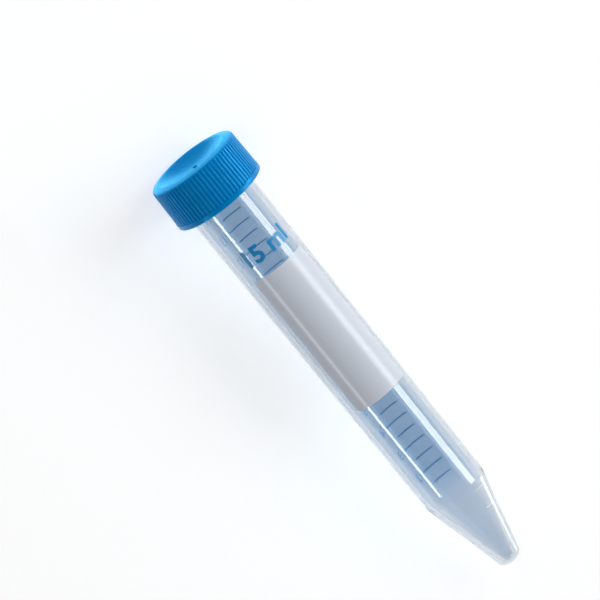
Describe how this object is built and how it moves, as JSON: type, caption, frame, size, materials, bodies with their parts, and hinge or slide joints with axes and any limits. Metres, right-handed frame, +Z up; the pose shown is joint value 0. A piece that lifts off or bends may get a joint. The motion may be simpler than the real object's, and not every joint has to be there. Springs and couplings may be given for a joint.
{
  "type": "15 ml conical centrifuge tube",
  "caption": "Clear conical-bottom screw-cap centrifuge tube with volume graduations, a write-on panel and a ribbed blue cap.",
  "frame": {"origin": "on the surface that the capped tube lies on, under the middle of the object", "axes": "+X from the tip towards the cap, +Z up; the tube's own axis climbs 2.4 degrees towards the cap, as it lies on the cap's lip and on the round at the top of the cone"},
  "size_m": [0.1206, 0.0232, 0.0234],
  "materials": {
    "clear_plastic": "clear, polished mould finish",
    "blue_plastic": "satin moulded blue",
    "white_ink": "matt white print",
    "blue_ink": "matt blue print"
  },
  "bodies": {
    "tube": {"tube": "clear_plastic"},
    "cap": {"cap": "blue_plastic"}
  },
  "joints": [
    {"name": "cap_lift", "type": "slide", "parent": "tube", "child": "cap", "axis": [0.9991, 0, 0.0425], "range_m": [0, 0.04]}
  ]
}
